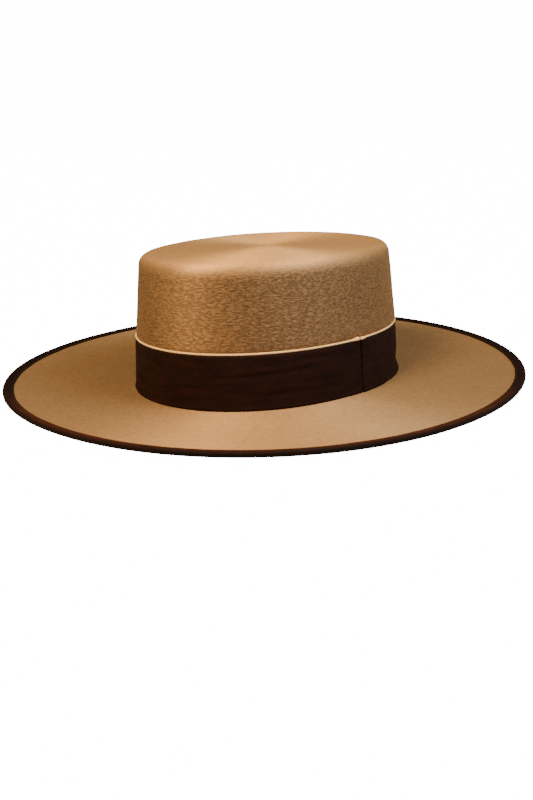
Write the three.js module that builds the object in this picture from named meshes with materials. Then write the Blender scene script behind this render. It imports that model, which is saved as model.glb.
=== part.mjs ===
// A hat of stiff moulded felt with a low flat crown and a wide, almost flat, bound brim. Millimetres,
// +Z up. The wearer looks towards -Y and their left is +X. The origin lies under the middle of the
// hat, on the surface that carries it.

import * as THREE from "three";

// Head opening, inside the felt
const headWidth = 164.6;
const headLength = 200.6;
const headOvalExponent = 2.07; // 2 is an ellipse
const headBackShare = 0.059; // by how much the oval is wider at the back of the head

// Felt shell
const feltWall = 1.5;
const crownHeight = 91; // from the brim's upper side to the crown's top
const bandSideLean = 3.1; // how far each side wall leans in, from its foot to the ribbon's upper edge
const bandFrontLean = 0.9; // how far the front and back walls lean in there
const bandWaist = 1.05; // how far the ribbon draws the wall in
const waistRun = 4; // height over which the wall comes out again, above the ribbon
const crownSideLean = 7.7; // from the ribbon's upper edge to the crown's top, at the sides
const crownFrontLean = 3.7; // the same at the front and back
const crownTopRadius = 6.3; // rounded edge of the crown's top, outside
const footRadius = 2; // bend from crown to brim, on the upper side
const brimSideReach = 94.5; // from the crown's foot to the bound edge, at the sides
const brimFrontReach = 87.5; // the same at the front and back
const brimOvalExponent = 2.04;
const brimBackShare = 0.006; // by how much the brim is wider at the back
const brimSideRise = 5.1; // how far the bound edge lies above the resting ring, at the sides
const brimFrontRise = 6.3; // the same at the front and back
const restingRingReach = 9; // flat ring of the brim that the hat rests on, from the crown's foot

// Trimmings
const bandWall = 1;
const bandHeight = 35.1;
const bandFootGap = 0.6; // from the brim's upper side to the ribbon's lower edge
const lapLength = 16; // doubled stretch, where one end of the ribbon lies over the other
const lapThickness = 0.7; // how far the doubled stretch stands out
const lapEdge = 0.3; // run of the step at the lap's cut end
const cordDiameter = 1.5;
const cordEndGap = 1; // between the cord's two ends, above the lap
const bindingWall = 1;
const bindingWidth = 7.2; // seen from above
const fitGap = 0.25; // clearance between pieces that touch

// How finely the round shapes are divided
const aroundSteps = 72;
const bendSteps = 4;
const waistSteps = 3;
const brimSteps = 4;
const cordSteps = 80;
const cordSides = 8;

const brimTop = feltWall;
const crownTop = brimTop + crownHeight;
const quarterTurn = Math.PI / 2;
const rimInset = feltWall / 2 + fitGap + bindingWall; // centre of the rounded edge
const cordRadius = cordDiameter / 2;
const bandFoot = brimTop + bandFootGap;
const bandTop = bandFoot + bandHeight;
const girth = Math.PI * (headWidth + headLength) / 2; // round the head opening, nearly
const lapTurn = 0.25; // the wearer's left side, as a share of a turn from the front

// A section is one oval ring. Its lift is the share of the brim's rise that raises it.
function crownSection(outset, height) {
  const low = Math.min(1, (height - brimTop) / (bandTop - brimTop));
  const high = Math.max(0, (height - bandTop) / (crownTop - bandTop));
  const out = outset + bandWaist * THREE.MathUtils.smoothstep(height, bandTop, bandTop + waistRun);
  return {
    halfWidth: headWidth / 2 + out - bandSideLean * low - crownSideLean * high,
    halfLength: headLength / 2 + out - bandFrontLean * low - crownFrontLean * high,
    height,
    exponent: headOvalExponent,
    backShare: headBackShare,
    lift: 0,
  };
}

function axisPoint(height) {
  return { ...crownSection(0, height), halfWidth: 0, halfLength: 0 };
}

// The reach runs from the crown's foot to the bound edge, as measured at the sides.
function brimSection(reach, height) {
  const share = reach / brimSideReach;
  const rising = Math.max(0, reach - restingRingReach) / (brimSideReach - restingRingReach);
  const foot = crownSection(feltWall, brimTop);
  return {
    halfWidth: foot.halfWidth + reach,
    halfLength: foot.halfLength + brimFrontReach * share,
    height,
    exponent: THREE.MathUtils.lerp(headOvalExponent, brimOvalExponent, share),
    backShare: THREE.MathUtils.lerp(headBackShare, brimBackShare, share),
    lift: rising * rising,
  };
}

// Near the edge the inset is the same all round, because the binding has one width.
function rimSection(inset, height) {
  const edge = brimSection(brimSideReach, height);
  return {
    ...edge,
    halfWidth: edge.halfWidth - inset,
    halfLength: edge.halfLength - inset,
    lift: brimSection(brimSideReach - inset, height).lift,
  };
}

function sectionPoint(section, turn) {
  const across = Math.sin(turn * 2 * Math.PI);
  const along = -Math.cos(turn * 2 * Math.PI);
  const power = section.exponent;
  const bulge = (Math.abs(across) ** power + Math.abs(along) ** power) ** (-1 / power);
  const rise = THREE.MathUtils.lerp(brimSideRise, brimFrontRise, along * along);
  return new THREE.Vector3(
    section.halfWidth * bulge * across * (1 + section.backShare * along),
    section.halfLength * bulge * along,
    section.height + section.lift * rise,
  );
}

// A lathe joins the sections, and each of its rings is then drawn out to its oval. The sections run
// upwards on the outside and downwards on the inside, so that every face points out.
function ovalSolid(sections, turns, shaped = (section) => section) {
  const profile = sections.map((section) => new THREE.Vector2(section.halfWidth, section.height));
  const solid = new THREE.LatheGeometry(profile, turns.length - 1);
  const places = solid.getAttribute("position");
  for (let index = 0; index < places.count; index += 1) {
    const turn = turns[Math.floor(index / sections.length)] % 1;
    const section = shaped(sections[index % sections.length], turn);
    places.setXYZ(index, ...sectionPoint(section, turn));
  }
  return solid;
}

function evenSteps(first, last, steps) {
  return Array.from({ length: steps + 1 }, (_, step) => {
    return THREE.MathUtils.lerp(first, last, step / steps);
  });
}

// Rounded edge of the crown's top, from the wall up to the flat
function topEdge(outset, radius, top) {
  return evenSteps(0, quarterTurn, bendSteps).map((angle) => {
    const height = top - radius * (1 - Math.sin(angle));
    return crownSection(outset - radius * (1 - Math.cos(angle)), height);
  });
}

// The wall above the ribbon, where it comes out again
function waist(outset) {
  const heights = evenSteps(bandTop, bandTop + waistRun, waistSteps);
  return heights.map((height) => crownSection(outset, height));
}

// Bend at the crown's foot, from the brim up to the wall, for the upper or the lower side of the felt
function footBend(radius) {
  return evenSteps(0, quarterTurn, bendSteps).map((angle) => {
    const reach = footRadius - radius * Math.sin(angle);
    const height = brimTop + footRadius - radius * Math.cos(angle);
    return crownSection(feltWall + reach, height);
  });
}

function brimSheet(height) {
  const reaches = evenSteps(restingRingReach, brimSideReach - bindingWidth, brimSteps).slice(0, -1);
  return [...reaches.map((reach) => brimSection(reach, height)), rimSection(bindingWidth, height)];
}

// Half round at the brim's edge, from the underside up to the upper side
function rimRound(radius) {
  return evenSteps(-quarterTurn, quarterTurn, bendSteps).map((angle) => {
    return rimSection(rimInset - radius * Math.cos(angle), feltWall / 2 + radius * Math.sin(angle));
  });
}

function feltBody() {
  const innerTop = crownTop - feltWall;
  const sections = [
    axisPoint(innerTop),
    ...topEdge(0, crownTopRadius - feltWall, innerTop).toReversed(),
    ...waist(0).toReversed(),
    ...footBend(footRadius + feltWall).toReversed(),
    ...brimSheet(0),
    ...rimRound(feltWall / 2),
    ...brimSheet(brimTop).toReversed(),
    ...footBend(footRadius),
    ...waist(feltWall),
    ...topEdge(feltWall, crownTopRadius, crownTop),
    axisPoint(crownTop),
  ];
  return ovalSolid(sections, evenSteps(0, 1, aroundSteps));
}

// How far the ribbon's inner side stands off the crown's wall, where it rides over the foot bend
function bandStandOff(height) {
  const above = Math.min(height - brimTop, footRadius);
  const radius = footRadius - fitGap;
  return footRadius - Math.sqrt(Math.max(0, radius ** 2 - (footRadius - above) ** 2));
}

function bandSection(height, thickness, doubled) {
  const outset = feltWall + bandStandOff(height) + thickness;
  return { ...crownSection(outset, height), doubled };
}

// The cut end of the ribbon faces the wearer's front, and the doubled stretch runs back from it.
function lapped(section, turn) {
  const past = (turn - lapTurn) * girth;
  const stepUp = THREE.MathUtils.smoothstep(past, 0, lapEdge);
  const fade = 1 - THREE.MathUtils.smoothstep(past, lapLength, 2 * lapLength);
  const outset = section.doubled * lapThickness * stepUp * fade;
  return {
    ...section,
    halfWidth: section.halfWidth + outset,
    halfLength: section.halfLength + outset,
  };
}

function hatBand() {
  const heights = [...evenSteps(bandFoot, brimTop + footRadius, bendSteps), bandTop];
  const sections = [
    ...heights.toReversed().map((height) => bandSection(height, 0, 0)),
    ...heights.map((height) => bandSection(height, bandWall, 1)),
    bandSection(bandTop, 0, 0),
  ];
  const turns = [...evenSteps(0, 1, aroundSteps), lapTurn + lapEdge / girth];
  return ovalSolid(sections, turns.toSorted((one, other) => one - other), lapped);
}

// The cord lies on the ribbon's upper edge, against the felt.
class CordPath extends THREE.Curve {
  getPoint(share, target = new THREE.Vector3()) {
    const height = bandTop + fitGap + cordRadius;
    const section = crownSection(feltWall + fitGap + cordRadius, height);
    const halfGap = cordEndGap / 2 / girth;
    const turn = THREE.MathUtils.lerp(lapTurn + halfGap, lapTurn + 1 - halfGap, share);
    return target.copy(sectionPoint(section, turn));
  }
}

function bandCord() {
  const round = evenSteps(0, 2 * Math.PI, cordSides).slice(0, -1).map((angle) => {
    return new THREE.Vector2(cordRadius * Math.cos(angle), cordRadius * Math.sin(angle));
  });
  const settings = { steps: cordSteps, bevelEnabled: false, extrudePath: new CordPath() };
  return new THREE.ExtrudeGeometry(new THREE.Shape(round), settings);
}

function brimBinding() {
  const innerRadius = feltWall / 2 + fitGap;
  const outerRadius = innerRadius + bindingWall;
  const middle = feltWall / 2;
  const sections = [
    rimSection(bindingWidth, middle - outerRadius),
    ...rimRound(outerRadius),
    rimSection(bindingWidth, middle + outerRadius),
    rimSection(bindingWidth, middle + innerRadius),
    ...rimRound(innerRadius).toReversed(),
    rimSection(bindingWidth, middle - innerRadius),
    rimSection(bindingWidth, middle - outerRadius),
  ];
  return ovalSolid(sections, evenSteps(0, 1, aroundSteps));
}

function piece(name, geometry, color, roughness) {
  const material = new THREE.MeshStandardMaterial({ color, roughness, metalness: 0 });
  const mesh = new THREE.Mesh(geometry, material);
  mesh.name = name;
  return mesh;
}

const hat = new THREE.Group();
hat.add(piece("felt_body", feltBody(), "#b58a5a", 0.95));
hat.add(piece("hat_band", hatBand(), "#26140f", 0.8));
hat.add(piece("band_cord", bandCord(), "#ecd8b0", 0.7));
hat.add(piece("brim_binding", brimBinding(), "#2d1a14", 0.8));

export default hat;
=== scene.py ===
# %% [markdown]
# A stiff felt hat: a low flat crown, a wide and almost flat brim with a bound edge, a ribbon band that
# is lapped on the wearer's left, and a thin twisted cord along the band's upper edge. The CAD model
# gives the places and sizes. Each CAD piece is replaced here by one with the finish of the real thing.

import bisect
import math
from collections import namedtuple

import bmesh
import bpy
from mathutils import Matrix, Vector, noise


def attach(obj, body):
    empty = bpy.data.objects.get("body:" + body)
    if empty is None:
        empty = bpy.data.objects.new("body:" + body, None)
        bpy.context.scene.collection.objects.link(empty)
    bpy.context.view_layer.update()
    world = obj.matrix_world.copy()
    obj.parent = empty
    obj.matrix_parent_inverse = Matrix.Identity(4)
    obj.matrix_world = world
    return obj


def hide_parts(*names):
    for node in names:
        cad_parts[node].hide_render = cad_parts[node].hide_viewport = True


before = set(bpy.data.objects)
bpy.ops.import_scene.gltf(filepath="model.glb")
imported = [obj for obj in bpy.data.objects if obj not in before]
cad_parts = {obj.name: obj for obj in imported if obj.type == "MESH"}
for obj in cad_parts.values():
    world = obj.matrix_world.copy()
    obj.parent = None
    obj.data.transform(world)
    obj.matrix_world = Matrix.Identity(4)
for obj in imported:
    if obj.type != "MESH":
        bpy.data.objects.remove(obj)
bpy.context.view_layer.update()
MM = 0.001

# %% [markdown]
# The camera stands to the front left of the wearer and a little above the brim, where the photograph
# was taken from. Its place was found by fitting the brim's and the crown's ovals to the photograph, so
# that every later difference comes from the hat. The lens is given for a frame of 533 by 800 pixels, in
# which Blender measures the sensor along the longer side.

# %% Camera
FRAME_WIDTH, FRAME_HEIGHT = 533, 800


def place_camera(azimuth, elevation, roll, aim, distance, focal_pixels, aim_pixel):
    """Looks down on aim from distance metres away, so that aim lands on aim_pixel of the frame."""
    turn, tilt, lean = (math.radians(angle) for angle in (azimuth, elevation, roll))
    level = Vector((math.cos(turn), math.sin(turn), 0))
    ahead = Vector((-math.sin(turn) * math.cos(tilt), math.cos(turn) * math.cos(tilt), -math.sin(tilt)))
    upright = level.cross(ahead)
    right = math.cos(lean) * level + math.sin(lean) * upright
    up = math.cos(lean) * upright - math.sin(lean) * level
    aside = (aim_pixel[0] - FRAME_WIDTH / 2) * distance / focal_pixels
    above = (FRAME_HEIGHT / 2 - aim_pixel[1]) * distance / focal_pixels
    data = bpy.data.cameras.new("camera")
    data.sensor_width = 36
    data.lens = focal_pixels / FRAME_HEIGHT * data.sensor_width
    camera = bpy.data.objects.new("camera", data)
    bpy.context.scene.collection.objects.link(camera)
    camera.matrix_world = Matrix((right, up, -ahead)).transposed().to_4x4()
    camera.matrix_world.translation = aim - right * aside - up * above - ahead * distance
    bpy.context.scene.camera = camera
    return camera


camera = place_camera(42, 17.413, -1.014, Vector((0, 0, 0.0525)), 0.6155, 858.1, (266.78, 302.575))
print("lens in mm:", round(camera.data.lens, 2))
print("camera's height in m:", round(camera.matrix_world.translation.z, 3))

# %% [markdown]
# The hat is built on ovals. A head is longer than it is wide and wider at the back, so each ring of the
# hat is an oval with its own half width and half length, drawn a little square by its exponent and
# wider at the back by its share. A turn of 0 is the wearer's front, 0.25 their left side and 0.5 the
# back. The brim rises slightly to its edge, a little more at the front and back than at the sides.

# %% Sizes of the felt, in millimetres
head_width, head_length = 165.5, 201.5  # the opening, inside the felt
head_exponent, head_back_share = 2.07, 0.059
felt_wall = 1.5
brim_top = felt_wall
crown_top = brim_top + 91.7
band_side_lean, band_front_lean = 3.1, 0.9  # how far the walls lean in, up to the ribbon's upper edge
crown_side_lean, crown_front_lean = 8.1, 4.0  # and from there to the top
band_waist, waist_run = 1.0, 4  # how far the ribbon draws the wall in, and the run to come out again
crown_top_radius = 6.3
foot_radius = 2
brim_side_reach, brim_front_reach = 94.05, 87.05
brim_exponent, brim_back_share = 2.04, 0.006
brim_side_rise, brim_front_rise = 5.5, 6.8
resting_reach = 9  # flat ring of the brim that the hat rests on
band_foot, band_top = 2.0, 37.2
tight_turn, tight_run = 0.365, 0.06  # where behind the lap the ribbon was pulled tightest
tight_height, tight_depth = 9, 0.8  # how high above the table, and how far it draws the felt in there

Oval = namedtuple("Oval", "half_width half_length height exponent back_share lift")


def lerp(start, end, share):
    return start + (end - start) * share


def smooth(value, low, high):
    """0 below low, 1 above high, and an even slope between."""
    share = min(1, max(0, (value - low) / (high - low)))
    return share * share * (3 - 2 * share)


def crown_oval(out, height):
    """The crown at a height, out millimetres outside the wearer's head."""
    low = min(1, (height - brim_top) / (band_top - brim_top))
    high = max(0, (height - band_top) / (crown_top - band_top))
    out += band_waist * smooth(height, band_top, band_top + waist_run)
    return Oval(
        head_width / 2 + out - band_side_lean * low - crown_side_lean * high,
        head_length / 2 + out - band_front_lean * low - crown_front_lean * high,
        height, head_exponent, head_back_share, 0)


def brim_oval(reach, height):
    """The brim, reach millimetres outside the crown's foot as measured at the sides."""
    share = reach / brim_side_reach
    rising = max(0, reach - resting_reach) / (brim_side_reach - resting_reach)
    foot = crown_oval(felt_wall, brim_top)
    return Oval(
        foot.half_width + reach, foot.half_length + brim_front_reach * share, height,
        lerp(head_exponent, brim_exponent, share), lerp(head_back_share, brim_back_share, share),
        rising ** 2)


def rim_oval(inset, height):
    """The brim near its edge, where the inset is the same all round."""
    edge = brim_oval(brim_side_reach, height)
    lift = brim_oval(brim_side_reach - inset, height).lift
    return edge._replace(
        half_width=edge.half_width - inset, half_length=edge.half_length - inset, lift=lift)


def on_oval(oval, turn):
    """The point of an oval at a turn, in metres."""
    across, along = math.sin(turn * 2 * math.pi), -math.cos(turn * 2 * math.pi)
    bulge = (abs(across) ** oval.exponent + abs(along) ** oval.exponent) ** (-1 / oval.exponent)
    rise = lerp(brim_side_rise, brim_front_rise, along * along)
    return Vector((
        oval.half_width * bulge * across * (1 + oval.back_share * along),
        oval.half_length * bulge * along,
        oval.height + oval.lift * rise)) * MM


def even_turns(oval, start, end, count):
    """Turns that cut an oval's edge from start to end into count equal lengths, and that length in mm."""
    fine = [lerp(start, end, step / 3000) for step in range(3001)]
    points = [on_oval(oval, turn) for turn in fine]
    run = [0.0]
    for one, other in zip(points, points[1:]):
        run.append(run[-1] + (other - one).length / MM)
    turns = []
    for step in range(count + 1):
        wanted = run[-1] * step / count
        after = min(3000, max(1, bisect.bisect_left(run, wanted)))
        share = (wanted - run[after - 1]) / (run[after] - run[after - 1])
        turns.append(lerp(fine[after - 1], fine[after], share))
    return turns, run[-1]


def behind_lap(turn):
    """1 in the middle of the stretch where the ribbon was pulled tight, and 0 far from it."""
    return math.exp(-((turn - tight_turn) / tight_run) ** 2)


def drawn_in(turn, height):
    """How far the tight ribbon draws the felt in, in mm."""
    deepest = math.exp(-((height - tight_height) / 5) ** 2) * smooth(height, 3.5, 7)
    return tight_depth * behind_lap(turn) * deepest


print("head opening round the inside in mm:", round(even_turns(crown_oval(0, brim_top), 0, 1, 360)[1]))

# %% [markdown]
# Every piece is made from a bmesh, and a small function turns that into an object that rides on the
# hat's one body and stands for its CAD piece. A material can't see where on the hat it is, so where it
# has to know, the points carry a layer of their own: how strongly the felt's nap is raised there, with
# its painted shade, or where a ribbon is painted lighter, a painted sheen.

# %% From bmesh to piece


def finished_piece(name, bm, node=None):
    for face in bm.faces:
        face.smooth = True
    mesh = bpy.data.meshes.new(name)
    bm.to_mesh(mesh)
    bm.free()
    piece = bpy.data.objects.new(name, mesh)
    bpy.context.scene.collection.objects.link(piece)
    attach(piece, "root")
    if node:
        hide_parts(node)
    print(name, "faces:", len(mesh.polygons))
    return piece


def give_wall(piece, thickness):
    """Thickens a surface inwards, away from the way that its faces point."""
    wall = piece.modifiers.new("wall", "SOLIDIFY")
    wall.thickness = thickness * MM
    wall.offset = -1
    wall.use_even_offset = True


# %% [markdown]
# The felt is one piece. The real one starts as a cone of felt that is steamed, pulled over a wooden
# block and pressed, so wall and brim have one thickness and no seam. The same comes from a lathe: the
# cut through one side is drawn as a line of points, spin turns it once round the axis, each ring is
# drawn out to its oval, and a Solidify modifier gives the wall. A subdivided cylinder would need its
# rim and its bend pulled into place by hand. Last, each point moves by a fraction of a millimetre,
# because pressed felt is never quite even.

# %% The felt's rings
AROUND = 288
TOP_SHARES = (0, 0.1, 0.22, 0.36, 0.5, 0.64, 0.78, 0.9)  # rings on the flat top
EDGE_STEPS, WALL_STEPS, WAIST_STEPS, BAND_STEPS, FOOT_STEPS, BRIM_STEPS = 10, 17, 5, 10, 7, 25
RIM_INSETS = (7.2, 5, 3, 1.2)  # rings under the binding, from the brim's edge


def felt_rings():
    """The ovals of the felt's upper and outer side, from the middle of the top out to the rim."""
    flat = crown_oval(felt_wall - crown_top_radius, crown_top)
    for share in TOP_SHARES:
        yield flat._replace(half_width=flat.half_width * share, half_length=flat.half_length * share)
    for step in range(EDGE_STEPS + 1):
        angle = math.radians(90 - 90 * step / EDGE_STEPS)
        out = felt_wall - crown_top_radius * (1 - math.cos(angle))
        yield crown_oval(out, crown_top - crown_top_radius * (1 - math.sin(angle)))
    for step in range(1, WALL_STEPS + 1):
        height = lerp(crown_top - crown_top_radius, band_top + waist_run, step / WALL_STEPS)
        yield crown_oval(felt_wall, height)
    for step in range(1, WAIST_STEPS + 1):
        yield crown_oval(felt_wall, band_top + waist_run * (1 - step / WAIST_STEPS))
    for step in range(1, BAND_STEPS + 1):
        yield crown_oval(felt_wall, lerp(band_top, brim_top + foot_radius, step / BAND_STEPS))
    for step in range(1, FOOT_STEPS + 1):
        angle = math.radians(90 - 90 * step / FOOT_STEPS)
        reach = foot_radius * (1 - math.sin(angle))
        yield crown_oval(felt_wall + reach, brim_top + foot_radius * (1 - math.cos(angle)))
    for step in range(BRIM_STEPS + 1):
        yield brim_oval(lerp(foot_radius * 2, brim_side_reach - 9, step / BRIM_STEPS), brim_top)
    for inset in RIM_INSETS:
        yield rim_oval(inset, brim_top)


rings = list(felt_rings())
crown_rings = len(TOP_SHARES) + EDGE_STEPS + 1 + WALL_STEPS + WAIST_STEPS + BAND_STEPS + FOOT_STEPS
print("rings of the felt:", len(rings), "of which on the crown:", crown_rings)

# %% [markdown]
# Three layers go with the felt's points. The ring says which oval a point belongs to. The nap says how
# strongly the brushed hairs are raised, and it carries painted shade as well: on the wall it is highest
# at the wearer's left front, which faces the camera, and least behind the lap, where the lighter wall is
# a painted rim light. Pressed marks the flat top, which the iron made smooth; its paler colour there is
# partly a painted highlight.

# %% Felt body
bm = bmesh.new()
ring_layer = bm.verts.layers.int.new("ring")
nap_and_painted_shade_layer = bm.verts.layers.float.new("nap_and_painted_shade")
pressed_and_painted_highlight_layer = bm.verts.layers.float.new("pressed_and_painted_highlight")
line = [bm.verts.new((ring.half_width * MM, 0, ring.height * MM)) for ring in rings]
for number, (vert, ring) in enumerate(zip(line, rings)):
    vert[ring_layer] = number
    on_wall = 1 - smooth(ring.height, crown_top - 11, crown_top - 3)
    vert[nap_and_painted_shade_layer] = on_wall * smooth(ring.height, brim_top + 1, brim_top + 6)
    vert[pressed_and_painted_highlight_layer] = smooth(ring.height, crown_top - 4.5, crown_top - 0.3)
for one, other in zip(line, line[1:]):
    bm.edges.new((one, other))
bmesh.ops.spin(
    bm, geom=bm.verts[:] + bm.edges[:], cent=(0, 0, 0), axis=(0, 0, 1), angle=2 * math.pi,
    steps=AROUND, use_merge=True)
bmesh.ops.remove_doubles(bm, verts=bm.verts, dist=0.001 * MM)
bmesh.ops.recalc_face_normals(bm, faces=bm.faces)
for vert in bm.verts:
    turn = math.atan2(vert.co.x, -vert.co.y) / (2 * math.pi)
    vert.co = on_oval(rings[vert[ring_layer]], turn)
    # Painted shade round the crown: the nap, and the wall's darker colour with it, is highest where the
    # wall faces the camera, and least behind the lap, a painted rim light.
    raised_and_painted_shade = 0.58 + 0.42 * smooth(turn, 0, 0.13) * (1 - smooth(turn, 0.13, 0.32))
    painted_rim_light = 0.35 * smooth(turn, 0.25, 0.36) * (1 - smooth(turn, 0.42, 0.5))
    vert[nap_and_painted_shade_layer] *= raised_and_painted_shade - painted_rim_light
bm.normal_update()
for vert in bm.verts:
    uneven = noise.noise(vert.co / (32 * MM)) * 0.22 + noise.noise(vert.co / (13 * MM)) * 0.07
    if vert.co.z < (brim_top + foot_radius) * MM:
        uneven = max(0, uneven)  # nothing sinks into the table that the hat rests on
    inside_binding = smooth(rings[vert[ring_layer]].lift, 0.75, 0.86)
    turn = math.atan2(vert.co.x, -vert.co.y) / (2 * math.pi)
    pulled = drawn_in(turn, vert.co.z / MM) if vert[ring_layer] < crown_rings else 0
    vert.co += vert.normal * (uneven * (1 - inside_binding) - pulled) * MM
felt = finished_piece("felt_shell", bm, "felt_body")
give_wall(felt, felt_wall)

# %% [markdown]
# The ribbons are cut flat and then wrapped, as a milliner does it. A grid is the flat ribbon, its UV
# map keeps the place of each point on the flat cloth in millimetres, and then every point moves to its
# place round the crown. So the ribs of the weave stay square to the ribbon wherever it goes.

# %% Flat ribbon


def flat_ribbon(length, width, along, across):
    """A flat grid from (0, 0) to (length, width) mm, with its millimetres as UV map."""
    bm = bmesh.new()
    size = Matrix.Translation((length / 2, width / 2, 0)) @ Matrix.Diagonal((length, width, 1, 1))
    bmesh.ops.create_grid(bm, x_segments=along, y_segments=across, size=0.5, matrix=size)
    cloth = bm.loops.layers.uv.new("cloth")
    for face in bm.faces:
        for loop in face.loops:
            loop[cloth].uv = loop.vert.co.xy
    return bm


# %% [markdown]
# The band goes once round and its end lies over its start by 16 mm. The raw end is turned in, and it
# faces the wearer's front. Along its foot the ribbon stands off the bend of the felt, and behind the
# lap it was pulled so tight that the felt gives way under it. The cloth isn't quite smooth either: a
# few long shallow creases show. They are rows of a table: where each starts and ends, and how deep it is.

# %% Hat band
LAP_TURN = 0.2505
lap_length = 16
ribbon_thick = 0.7
band_stand_off = 1.25
band_middle = crown_oval(felt_wall + band_stand_off, (band_foot + band_top) / 2)
girth = even_turns(band_middle, 0, 1, 360)[1]
lap_share = lap_length / girth
band_turns, band_length = even_turns(band_middle, LAP_TURN + lap_share, LAP_TURN - 1, 480)

Crease = namedtuple("Crease", "start_turn start_height end_turn end_height depth width")
creases = [
    Crease(-0.06, 29, 0.04, 26, 0.35, 1.5),
    Crease(0.06, 22, 0.19, 26.5, 0.6, 1.4),
    Crease(0.17, 33, 0.235, 30, 0.35, 1.2),
    Crease(0.10, 12, 0.22, 10.5, 0.3, 1.8),
    Crease(0.262, 22, 0.34, 14, 0.4, 1.6),
    Crease(0.42, 18, 0.55, 22, 0.35, 1.6),
    Crease(0.62, 27, 0.74, 24, 0.3, 1.5),
    Crease(0.80, 15, 0.90, 18, 0.25, 1.6),
]


def crease_depth(turn, height):
    depth = 0
    for crease in creases:
        middle = (crease.start_turn + crease.end_turn) / 2
        near = (turn - middle + 0.5) % 1 - 0.5 + middle
        share = (near - crease.start_turn) / (crease.end_turn - crease.start_turn)
        if 0 < share < 1:
            away = (height - lerp(crease.start_height, crease.end_height, share)) / crease.width
            fade = math.sin(math.pi * share) ** 0.6
            depth += crease.depth * fade * (math.exp(-away * away) - 0.5 * math.exp(-(away - 2) ** 2))
    return depth


def band_place(run, height):
    """Where a point of the flat ribbon goes, from its run along the ribbon and its height."""
    place = run / band_length * (len(band_turns) - 1)
    before = min(len(band_turns) - 2, int(place))
    turn = lerp(band_turns[before], band_turns[before + 1], place - before)
    from_end = band_length - run
    lapped = 1 - smooth(from_end, lap_length, 2.2 * lap_length)
    turned_in = math.exp(-((from_end - 1.5) / 1.2) ** 2) * 0.2
    above_foot = height - brim_top
    off = foot_radius - math.sqrt(max(0, 1.75 ** 2 - max(0, foot_radius - above_foot) ** 2)) - 0.25
    beside = (turn + 0.5) % 1 - 0.5
    snug = 0.55 * behind_lap(beside) * smooth(height, 1, 8)
    wobble = noise.noise(Vector((run / 45, height / 9, 3))) * 0.16
    out = band_stand_off + lapped * ribbon_thick + turned_in + off * 0.7 + wobble
    out -= crease_depth(turn % 1, height) + drawn_in(beside, height) + snug
    return on_oval(crown_oval(felt_wall + out, height), turn)


bm = flat_ribbon(band_length, band_top - band_foot, 620, 26)
for vert in bm.verts:
    vert.co = band_place(vert.co.x, band_foot + vert.co.y)
bmesh.ops.recalc_face_normals(bm, faces=bm.faces)
if sum(face.normal.dot(face.calc_center_median()) for face in bm.faces) < 0:
    bmesh.ops.reverse_faces(bm, faces=bm.faces)
band = finished_piece("ribbon_band", bm, "hat_band")
give_wall(band, ribbon_thick - 0.1)
print("band ribbon in mm:", round(band_length), "by", round(band_top - band_foot, 1))

# %% [markdown]
# The edging cord is three strands twisted together, laid along the ribbon's upper edge. A plain tube
# would look like wire up close, so each strand is a curve that winds round the cord's middle line, with
# its own round bevel. Where the cord's ends meet above the lap they have come a little untwisted, so the
# strands spread, swell and stand out there. The curve is turned into a mesh at the end, because a
# curve's own box is larger than what is seen of it.

# %% Edging cord
strand_radius = 0.37
strand_lay = 0.35
twist_pitch = 4.2
cord_height = band_top + 0.85
cord_oval = crown_oval(felt_wall + 0.7, cord_height)
cord_turns, cord_length = even_turns(cord_oval, LAP_TURN + 0.0008, LAP_TURN + 0.9969, 1700)

strands = bpy.data.curves.new("cord_strands", "CURVE")
strands.dimensions = "3D"
strands.bevel_depth = strand_radius * MM
strands.bevel_resolution = 1
strands.use_fill_caps = True
for strand in range(3):
    spline = strands.splines.new("POLY")
    spline.points.add(len(cord_turns) - 1)
    for index, turn in enumerate(cord_turns):
        run = cord_length * index / (len(cord_turns) - 1)
        to_end = cord_length - run
        middle = on_oval(cord_oval, turn)
        ahead = (on_oval(cord_oval, turn + 0.0005) - on_oval(cord_oval, turn - 0.0005)).normalized()
        up = Vector((0, 0, 1))
        out = ahead.cross(up)
        frayed = max(1 - smooth(to_end, 1, 7), 0.7 - 0.7 * smooth(run, 1, 6))
        angle = 2 * math.pi * (run / twist_pitch + strand / 3)
        lay = strand_lay + 0.4 * frayed
        tucked = 0.35 * (1 - smooth(run, 0, 9))
        offset = up * (math.sin(angle) * lay - tucked + 0.3 * frayed) + out * math.cos(angle) * lay
        snug = 0.45 * behind_lap((turn + 0.5) % 1 - 0.5)
        point = middle + (offset + out * (0.65 * frayed - snug)) * MM
        spline.points[index].co = (*point, 1)
        spline.points[index].radius = 1 + 0.6 * frayed
winding = bpy.data.objects.new("winding", strands)
cord = bpy.data.objects.new("edging_cord", bpy.data.meshes.new_from_object(winding))
bpy.data.objects.remove(winding)
bpy.context.scene.collection.objects.link(cord)
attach(cord, "root")
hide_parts("band_cord")
print("cord length in mm:", round(cord_length), "turns of its twist:", round(cord_length / twist_pitch))

# %% [markdown]
# The brim's edge is bound: a narrow ribbon is folded over it and sewn through. It is the same flat
# grid, whose width now runs in along the upper side, round the edge and back along the underside. The
# cloth is half a millimetre thick and the seam pulls it down, so it bulges round the edge and lies flat
# at the seam. Towards the camera, at the left front, the ribbon is painted a lighter brown, a painted
# sheen, and away from there it is painted darker, a painted shade.

# %% Brim binding
binding_seen = 7.2  # width from above
binding_thick = 0.5
binding_bulge = 0.55  # how far the round edge stands out past the seam
painted_sheen_side = Vector((0.67, -0.74, 0))  # the left front, which faces the camera, where the binding is painted lighter, a painted sheen
binding_round = felt_wall / 2 + 0.1 + binding_thick + binding_bulge
binding_flat = binding_seen - binding_round
binding_width = 2 * binding_flat + math.pi * binding_round
rim_turns, rim_length = even_turns(rim_oval(0, felt_wall / 2), 0.5, 1.5, 720)


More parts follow.
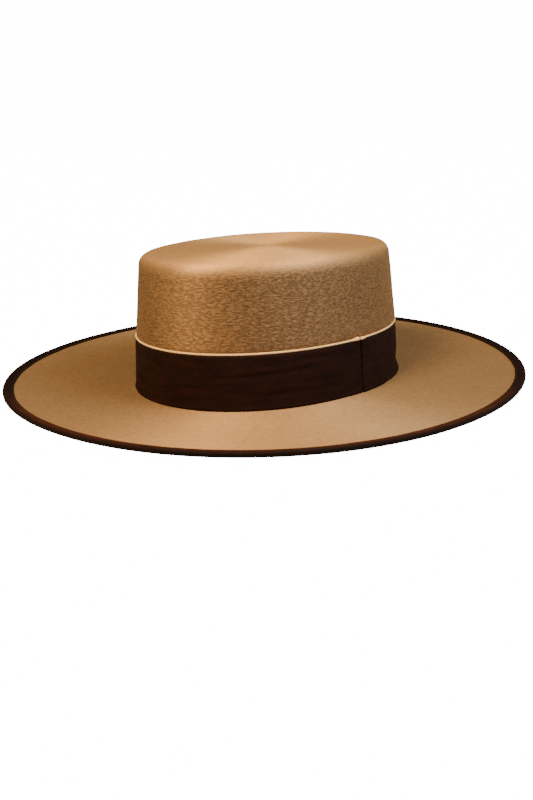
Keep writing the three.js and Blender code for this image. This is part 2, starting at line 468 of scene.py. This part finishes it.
def binding_place(run, across):
    """Where a point of the flat binding goes: in along the top, round the edge and back below."""
    place = run / rim_length * (len(rim_turns) - 1)
    before = min(len(rim_turns) - 2, int(place))
    turn = lerp(rim_turns[before], rim_turns[before + 1], place - before)
    angle = turn * 2 * math.pi
    pulled = noise.noise(Vector((math.cos(angle), math.sin(angle), 0)) * 9) * 0.25
    if across < binding_flat:
        inset = binding_seen - across
        edge = 1 - smooth(across, 0, 3)
        sunk = binding_bulge * (1 - math.sin(math.pi / 2 * across / binding_flat))
        return on_oval(rim_oval(inset + pulled * edge, felt_wall / 2 + binding_round - sunk), turn)
    if across > binding_width - binding_flat:
        across = binding_width - across
        sunk = binding_bulge * (1 - math.sin(math.pi / 2 * across / binding_flat))
        return on_oval(rim_oval(binding_seen - across, felt_wall / 2 - binding_round + sunk), turn)
    angle = math.pi / 2 - (across - binding_flat) / binding_round
    inset = binding_round * (1 - math.cos(angle))
    return on_oval(rim_oval(inset, felt_wall / 2 + binding_round * math.sin(angle)), turn)


bm = flat_ribbon(rim_length, binding_width, 760, 26)
painted_sheen_layer = bm.verts.layers.float.new("painted_sheen")
for vert in bm.verts:
    vert.co = binding_place(vert.co.x, vert.co.y)
    # Painted sheen: 1 where the binding faces the camera, fading to 0 at the sides, where it is painted
    # darker.
    vert[painted_sheen_layer] = smooth(vert.co.normalized().dot(painted_sheen_side), 0.28, 0.72)
bmesh.ops.remove_doubles(bm, verts=bm.verts, dist=0.01 * MM)
bmesh.ops.recalc_face_normals(bm, faces=bm.faces)
if sum(face.normal.z * (face.calc_center_median().z - 5 * MM) for face in bm.faces) < 0:
    bmesh.ops.reverse_faces(bm, faces=bm.faces)
binding = finished_piece("edge_binding", bm, "brim_binding")
give_wall(binding, binding_thick)
print("binding ribbon in mm:", round(rim_length), "by", round(binding_width, 1))

# %% [markdown]
# The seam that holds the binding runs just inside its edge, above and below. A stitch is hardly more
# than a dent with a thread in it, so each is a small drawn-out ball of few faces, half sunk into the
# ribbon.

# %% Stitches of the binding
stitch_pitch, stitch_length, stitch_thick = 3.0, 2.1, 0.3
stitch_count = round(rim_length / stitch_pitch)
stitch_turns, _ = even_turns(rim_oval(0, felt_wall / 2), 0, 1, stitch_count)
bm = bmesh.new()
for side in (1, -1):
    height = felt_wall / 2 + side * (binding_round - 0.42)
    oval = rim_oval(binding_seen - 1.1, height)
    for turn in stitch_turns[:-1]:
        ahead = (on_oval(oval, turn + 0.001) - on_oval(oval, turn - 0.001)).normalized()
        spot = Matrix((ahead, Vector((0, 0, 1)).cross(ahead), (0, 0, 1))).transposed().to_4x4()
        spot.translation = on_oval(oval, turn)
        shape = Matrix.Diagonal((stitch_length / 2 * MM, stitch_thick / 2 * MM, 0.1 * MM, 1))
        bmesh.ops.create_icosphere(bm, subdivisions=1, radius=1, matrix=spot @ shape)
stitches = finished_piece("binding_stitches", bm, None)

# %% [markdown]
# Materials. One function adds a node with its settings and links, and one turns a colour as a picture
# shows it into the linear numbers that Blender works with.

# %% Helpers for materials


def linear(hex_colour):
    parts = [int(hex_colour[start:start + 2], 16) / 255 for start in (1, 3, 5)]
    return (*[part / 12.92 if part <= 0.04045 else ((part + 0.055) / 1.055) ** 2.4 for part in parts], 1)


def add_node(tree, kind, settings=None, **inputs):
    """Adds a node. Settings are its properties; inputs are values, or sockets to link from."""
    node = tree.nodes.new(kind)
    for name, value in (settings or {}).items():
        setattr(node, name, value)
    for name, value in inputs.items():
        key = int(name[1:]) if name[0] == "_" and name[1:].isdigit() else name.replace("_", " ")
        if isinstance(value, bpy.types.NodeSocket):
            tree.links.new(value, node.inputs[key])
        else:
            node.inputs[key].default_value = value
    return node


def new_material(name):
    material = bpy.data.materials.new(name)
    material.use_nodes = True
    material.node_tree.nodes.clear()
    return material, material.node_tree


def finish_material(tree, shader):
    add_node(tree, "ShaderNodeOutputMaterial", Surface=shader.outputs[0])


def blend_colours(tree, fac, one, other, kind="MIX"):
    mix = add_node(tree, "ShaderNodeMix", {"data_type": "RGBA", "blend_type": kind})
    for key, value in ((0, fac), (6, one), (7, other)):
        if isinstance(value, bpy.types.NodeSocket):
            tree.links.new(value, mix.inputs[key])
        else:
            mix.inputs[key].default_value = value
    return mix.outputs[2]


# %% [markdown]
# The felt is fur felt with a brushed nap. On the wall of the crown the hairs were brushed round it, so
# they lie in short wavy strands, 3 to 5 mm long and a good millimetre apart. The gaps between them are
# painted darker where the relief sinks, a painted shade, and the strands' crests lighter, a painted
# highlight; the whole wall is painted darker as well, a painted shade. On the top and the brim the nap
# was pressed down and is almost smooth, and the flat top is painted paler, partly a painted highlight.
# Object coordinates stretched along the height give the strands all round the crown without a seam: 330
# cells a metre round the hat and 1250 up it, which are cells of 3.0 by 0.8 mm.

# %% Brushed fur felt: its strands and colours
felt_material, tree = new_material("brushed_fur_felt")
place = add_node(tree, "ShaderNodeTexCoord").outputs["Object"]
nap_and_painted_shade = add_node(tree, "ShaderNodeAttribute", {"attribute_name": "nap_and_painted_shade"}).outputs["Fac"]
pressed_and_painted_highlight = add_node(tree, "ShaderNodeAttribute", {"attribute_name": "pressed_and_painted_highlight"}).outputs["Fac"]
strands_at = add_node(tree, "ShaderNodeMapping", Vector=place, Scale=(330, 330, 1250)).outputs[0]
strands_map = add_node(
    tree, "ShaderNodeTexNoise", Vector=strands_at, Scale=1.0, Detail=2.0, Roughness=0.55,
    Distortion=0.4).outputs[0]
mottle = add_node(
    tree, "ShaderNodeTexNoise", Vector=place, Scale=28.0, Detail=3.0, Roughness=0.6).outputs[0]
hair_noise = add_node(tree, "ShaderNodeTexNoise", Vector=place, Scale=900.0, Detail=3.0, Roughness=0.7)
hairs = hair_noise.outputs[0]

gaps = add_node(tree, "ShaderNodeMapRange", Value=strands_map, From_Min=0.4, From_Max=0.6)
gap_strength = add_node(
    tree, "ShaderNodeMath", {"operation": "MULTIPLY_ADD"}, _0=nap_and_painted_shade, _1=0.82, _2=0.18).outputs[0]
gap_share = add_node(
    tree, "ShaderNodeMath", {"operation": "SUBTRACT"}, _0=1.0, _1=gaps.outputs[0]).outputs[0]
gap_painted_shade = add_node(
    tree, "ShaderNodeMath", {"operation": "MULTIPLY"}, _0=gap_share, _1=gap_strength).outputs[0]
tan = blend_colours(tree, mottle, linear("#B48A5A"), linear("#C59C6C"))
# Painted highlight: the flat top is painted paler, partly a painted highlight and partly its smooth
# pressed finish.
tan = blend_colours(tree, pressed_and_painted_highlight, tan, linear("#E4AF70"))
# Painted shade: the wall is painted a darker brown where the nap layer is high.
painted_wall_shade = add_node(
    tree, "ShaderNodeMath", {"operation": "MULTIPLY"}, _0=nap_and_painted_shade, _1=0.9).outputs[0]
tan = blend_colours(tree, painted_wall_shade, tan, linear("#6C4F35"))
# Painted shade in the gaps between the strands, where the relief sinks.
tan = blend_colours(tree, gap_painted_shade, tan, linear("#513A26"))
# Painted highlight: the strands' raised crests on the wall are painted lighter.
crests = add_node(tree, "ShaderNodeMapRange", Value=strands_map, From_Min=0.54, From_Max=0.68).outputs[0]
crest_painted_highlight = add_node(tree, "ShaderNodeMath", {"operation": "MULTIPLY"}, _0=crests, _1=nap_and_painted_shade).outputs[0]
crest_painted_highlight = add_node(
    tree, "ShaderNodeMath", {"operation": "MULTIPLY"}, _0=crest_painted_highlight, _1=0.28).outputs[0]
tan = blend_colours(tree, crest_painted_highlight, tan, linear("#C39A6A"))
hair_share = add_node(
    tree, "ShaderNodeMapRange", Value=hairs, From_Min=0.3, From_Max=0.7, To_Max=0.25).outputs[0]
tan = blend_colours(tree, hair_share, tan, linear("#CAA26E"))

# %% [markdown]
# Hairs that all run round the hat shine lengthwise like brushed metal. So the felt is Anisotropic, with
# a tangent that runs round the axis and leans down on the wall, as the brush left the hairs. No hair
# lies quite true: a fine noise turns the tangent a little everywhere, and every way in the very middle
# of the top. Metallic is the share of hairs that lie in line, since only that carries their colour into
# the shine. The loose ends catch light at a low angle, which is what Sheen does.

# %% Brushed fur felt: its relief and shine
nap_height = add_node(
    tree, "ShaderNodeMath", {"operation": "MULTIPLY"}, _0=gaps.outputs[0], _1=gap_strength).outputs[0]
relief = add_node(
    tree, "ShaderNodeBump", Strength=0.8, Distance=0.35 * MM, Height=nap_height).outputs[0]
relief = add_node(
    tree, "ShaderNodeBump", Strength=0.35, Distance=0.12 * MM, Height=hairs, Normal=relief).outputs[0]
round_axis = add_node(
    tree, "ShaderNodeVectorMath", {"operation": "CROSS_PRODUCT"}, _0=(0.0, 0.0, 1.0), _1=place).outputs[0]
astray = add_node(
    tree, "ShaderNodeVectorMath", {"operation": "SUBTRACT"}, _0=hair_noise.outputs["Color"],
    _1=(0.5, 0.5, 0.5)).outputs[0]
round_axis = add_node(
    tree, "ShaderNodeVectorMath", {"operation": "MULTIPLY_ADD"}, _0=astray, _1=(0.07, 0.07, 0.0),
    _2=round_axis).outputs[0]
round_axis = add_node(
    tree, "ShaderNodeVectorMath", {"operation": "NORMALIZE"}, _0=round_axis).outputs[0]
rising = add_node(
    tree, "ShaderNodeVectorMath", {"operation": "SCALE"}, _0=(0.0, 0.0, 1.0), Scale=nap_and_painted_shade).outputs[0]
lying = add_node(
    tree, "ShaderNodeVectorMath", {"operation": "MULTIPLY_ADD"}, _0=rising, _1=(0.0, 0.0, -0.22),
    _2=round_axis).outputs[0]
shader = add_node(
    tree, "ShaderNodeBsdfPrincipled", Base_Color=tan, Metallic=0.66, Roughness=0.64, Anisotropic=0.72,
    Anisotropic_Rotation=0.25, Specular_IOR_Level=1.0, Specular_Tint=linear("#FFDDB0"),
    Sheen_Weight=0.18, Sheen_Roughness=0.35, Sheen_Tint=linear("#F0C890"), Normal=relief, Tangent=lying)
finish_material(tree, shader)

# %% [markdown]
# The ribbons are grosgrain, a tight viscose weave with a rib straight across the ribbon every
# millimetre or so. The colour is a very dark brown, and the ribs' rounded backs give a dull reddish
# light. The UV map is in millimetres, so one wave per unit of run is one rib. The binding is the same
# cloth with painted light on it: a shade lighter, a painted sheen, where its layer marks the side that
# faces the camera, and darker, a painted shade, round its edge, on the half that is turned under the
# brim, and away from the wearer's left front.

# %% Grosgrain ribbons


def grosgrain(name, dark, light, rib_pitch, rib_depth, roughness, painted_shade_from=None):
    """A ribbon, its ribs in mm. With an edge given, it is painted darker past that many mm across it, a
    painted shade, and lighter where its layer marks painted sheen.
    """
    material, tree = new_material(name)
    cloth = add_node(tree, "ShaderNodeUVMap", {"uv_map": "cloth"}).outputs[0]
    parts = add_node(tree, "ShaderNodeSeparateXYZ", Vector=cloth)
    phase = add_node(
        tree, "ShaderNodeMath", {"operation": "MULTIPLY"}, _0=parts.outputs[0],
        _1=2 * math.pi / rib_pitch).outputs[0]
    wave = add_node(tree, "ShaderNodeMath", {"operation": "SINE"}, _0=phase).outputs[0]
    worn_at = add_node(tree, "ShaderNodeMapping", Vector=cloth, Scale=(0.05, 0.22, 1)).outputs[0]
    worn = add_node(
        tree, "ShaderNodeTexNoise", Vector=worn_at, Scale=1.0, Detail=5.0, Roughness=0.65).outputs[0]
    threads = add_node(
        tree, "ShaderNodeTexNoise", Vector=cloth, Scale=2.2, Detail=2.0, Roughness=0.6).outputs[0]
    share = add_node(
        tree, "ShaderNodeMapRange", Value=worn, From_Min=0.35, From_Max=0.7).outputs[0]
    colour = blend_colours(tree, share, linear(dark), linear(light))
    fleck = add_node(
        tree, "ShaderNodeMapRange", Value=threads, From_Min=0.45, From_Max=0.8, To_Max=0.5).outputs[0]
    colour = blend_colours(tree, fleck, colour, linear(light))
    if painted_shade_from:
        # Painted shade round the edge and under the brim; painted sheen, lighter, on the side towards the
        # camera, and darker elsewhere.
        painted_edge_shade = add_node(
            tree, "ShaderNodeMapRange", Value=parts.outputs[1], From_Min=painted_shade_from - 0.8,
            From_Max=painted_shade_from + 1.6, To_Max=0.9).outputs[0]
        colour = blend_colours(tree, painted_edge_shade, colour, linear("#100502"))
        painted_sheen = add_node(tree, "ShaderNodeAttribute", {"attribute_name": "painted_sheen"}).outputs["Fac"]
        colour = blend_colours(tree, painted_sheen, linear("#150803"), colour)
    relief = add_node(
        tree, "ShaderNodeBump", Strength=0.6, Distance=rib_depth * MM, Height=wave).outputs[0]
    relief = add_node(
        tree, "ShaderNodeBump", Strength=0.4, Distance=0.1 * MM, Height=threads, Normal=relief).outputs[0]
    shader = add_node(
        tree, "ShaderNodeBsdfPrincipled", Base_Color=colour, Roughness=roughness,
        Specular_IOR_Level=0.1, Sheen_Weight=0.015, Sheen_Roughness=0.5, Sheen_Tint=linear("#9C6B4C"),
        Normal=relief)
    finish_material(tree, shader)
    return material


band_material = grosgrain("grosgrain_band", "#130604", "#260F08", 1.0, 0.10, 0.75)
binding_material = grosgrain("grosgrain_binding", "#2C130A", "#462010", 1.1, 0.12, 0.65, binding_flat)

# %% [markdown]
# The cord is mercerised cotton, pale cream with a slight silky light. Fine noise mixes two shades of
# cream, since the yarn is never quite even. The stitches are thread of the binding's own brown.

# %% Cord and thread
cord_material, tree = new_material("twisted_cotton_cord")
place = add_node(tree, "ShaderNodeTexCoord").outputs["Object"]
fibres = add_node(
    tree, "ShaderNodeTexNoise", Vector=place, Scale=700.0, Detail=2.0, Roughness=0.6).outputs[0]
cream = blend_colours(tree, fibres, linear("#E6B575"), linear("#FFDFA2"))
relief = add_node(tree, "ShaderNodeBump", Strength=0.3, Distance=0.08 * MM, Height=fibres).outputs[0]
shader = add_node(
    tree, "ShaderNodeBsdfPrincipled", Base_Color=cream, Roughness=0.6, Sheen_Weight=0.15,
    Sheen_Roughness=0.4, Normal=relief)
finish_material(tree, shader)

thread_material, tree = new_material("spun_polyester_thread")
place = add_node(tree, "ShaderNodeTexCoord").outputs["Object"]
fibres = add_node(tree, "ShaderNodeTexNoise", Vector=place, Scale=900.0, Detail=2.0).outputs[0]
brown = blend_colours(tree, fibres, linear("#2A150D"), linear("#4A2C1C"))
shader = add_node(
    tree, "ShaderNodeBsdfPrincipled", Base_Color=brown, Roughness=0.55, Sheen_Weight=0.05)
finish_material(tree, shader)

for piece, material in (
        (felt, felt_material), (band, band_material), (cord, cord_material),
        (binding, binding_material), (stitches, thread_material)):
    piece.data.materials.append(material)
    print(piece.name, "is", material.name)

# %% [markdown]
# The studio is a pale floor with nearly white surroundings. The floor glows for the camera alone, so
# that it looks as white as a lit studio sweep but throws no light up under the brim.

# %% Floor and surroundings
bm = bmesh.new()
bmesh.ops.create_circle(bm, cap_ends=True, segments=64, radius=12)
floor_mesh = bpy.data.meshes.new("floor")
bm.to_mesh(floor_mesh)
bm.free()
floor = bpy.data.objects.new("floor", floor_mesh)
bpy.context.scene.collection.objects.link(floor)
floor_material, tree = new_material("white_studio_sweep")
to_camera = add_node(tree, "ShaderNodeLightPath").outputs["Is Camera Ray"]
lit_share = add_node(tree, "ShaderNodeMath", {"operation": "MULTIPLY"}, _0=to_camera, _1=0.6).outputs[0]
matte = add_node(tree, "ShaderNodeBsdfDiffuse", Color=(0.4, 0.4, 0.4, 1)).outputs[0]
glow = add_node(tree, "ShaderNodeEmission", Color=(1, 1, 1, 1), Strength=27.0).outputs[0]
finish_material(tree, add_node(tree, "ShaderNodeMixShader", _0=lit_share, _1=matte, _2=glow))
floor_mesh.materials.append(floor_material)

world = bpy.data.worlds.new("studio")
world.use_nodes = True
bpy.context.scene.world = world
tree = world.node_tree
tree.nodes.clear()
to_camera = add_node(tree, "ShaderNodeLightPath").outputs["Is Camera Ray"]
dim = add_node(tree, "ShaderNodeBackground", Color=(0.92, 0.96, 1.0, 1), Strength=0.08).outputs[0]
bright = add_node(tree, "ShaderNodeBackground", Color=(1, 1, 1, 1), Strength=16.0).outputs[0]
add_node(
    tree, "ShaderNodeOutputWorld",
    Surface=add_node(tree, "ShaderNodeMixShader", _0=to_camera, _1=dim, _2=bright).outputs[0])


# %% [markdown]
# Three soft lamps light the hat. The warm key lamp stands before the wearer, which is the left of the
# picture, and throws the crown's shadow back over the brim on the right. The wide, cooler fill lamp
# stands on the wearer's left and a little behind, and lightens that shadow. The small top lamp hangs
# close above the brim's left side and brings out the gloss of the flat top.

# %% Lamps
lamps_aim = Vector((0, 0, 0.05))


def soft_lamp(name, side, front, elevation, distance, size, power, colour):
    """A square lamp that shines on the crown. Side and front point to the wearer's left and front."""
    data = bpy.data.lights.new(name, "AREA")
    data.size = size
    data.energy = power
    data.color = linear(colour)[:3]
    lamp = bpy.data.objects.new(name, data)
    bpy.context.scene.collection.objects.link(lamp)
    tilt = math.radians(elevation)
    level = Vector((side, -front, 0)).normalized()
    away = math.cos(tilt) * level + math.sin(tilt) * Vector((0, 0, 1))
    lamp.location = lamps_aim + distance * away
    lamp.rotation_euler = (lamps_aim - lamp.location).to_track_quat("-Z", "Y").to_euler()
    print(name, "at", [round(value, 2) for value in lamp.location])


soft_lamp("key_lamp", 0.02, 1.0, 47, 1.0, 0.4, 16.5, "#FFE2B6")
soft_lamp("fill_lamp", 1.0, -0.35, 40, 1.4, 0.8, 20, "#D6E2F0")
soft_lamp("top_lamp", 1.0, -0.2, 68, 0.38, 0.22, 0.9, "#FFDFAE")
